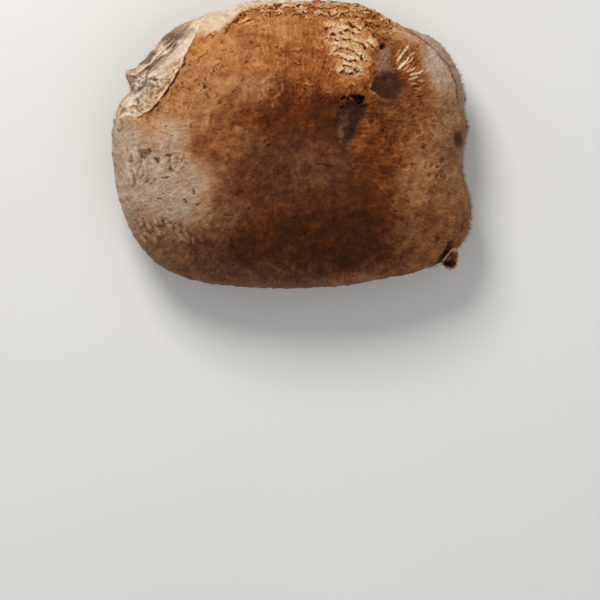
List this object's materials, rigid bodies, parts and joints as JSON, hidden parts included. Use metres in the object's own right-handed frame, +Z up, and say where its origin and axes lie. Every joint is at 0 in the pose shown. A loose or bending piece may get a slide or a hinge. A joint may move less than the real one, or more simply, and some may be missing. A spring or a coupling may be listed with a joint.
{
  "type": "portobello mushroom",
  "caption": "Whole portobello mushroom: a broad brown cap with a turned-down ragged margin, dark radiating gills underneath and a stout stem cut flat, on which it stands.",
  "frame": {"origin": "middle of the mushroom's own box, on the surface that the cut stem stands on", "axes": "+Z up through the crown, +X along the cap's longer side, +Y towards the top of the picture; the torn margin is at -X, +Y"},
  "size_m": [0.138, 0.1106, 0.044],
  "materials": {
    "cap_skin": "satin, slightly moist brown skin with fibres, cracks and scales",
    "gills": "matt dark brown",
    "stem_flesh": "matt cream flesh with fibres along it"
  },
  "bodies": {
    "root": {"cap": "cap_skin", "gills": "gills", "stem": "stem_flesh"}
  },
  "joints": []
}
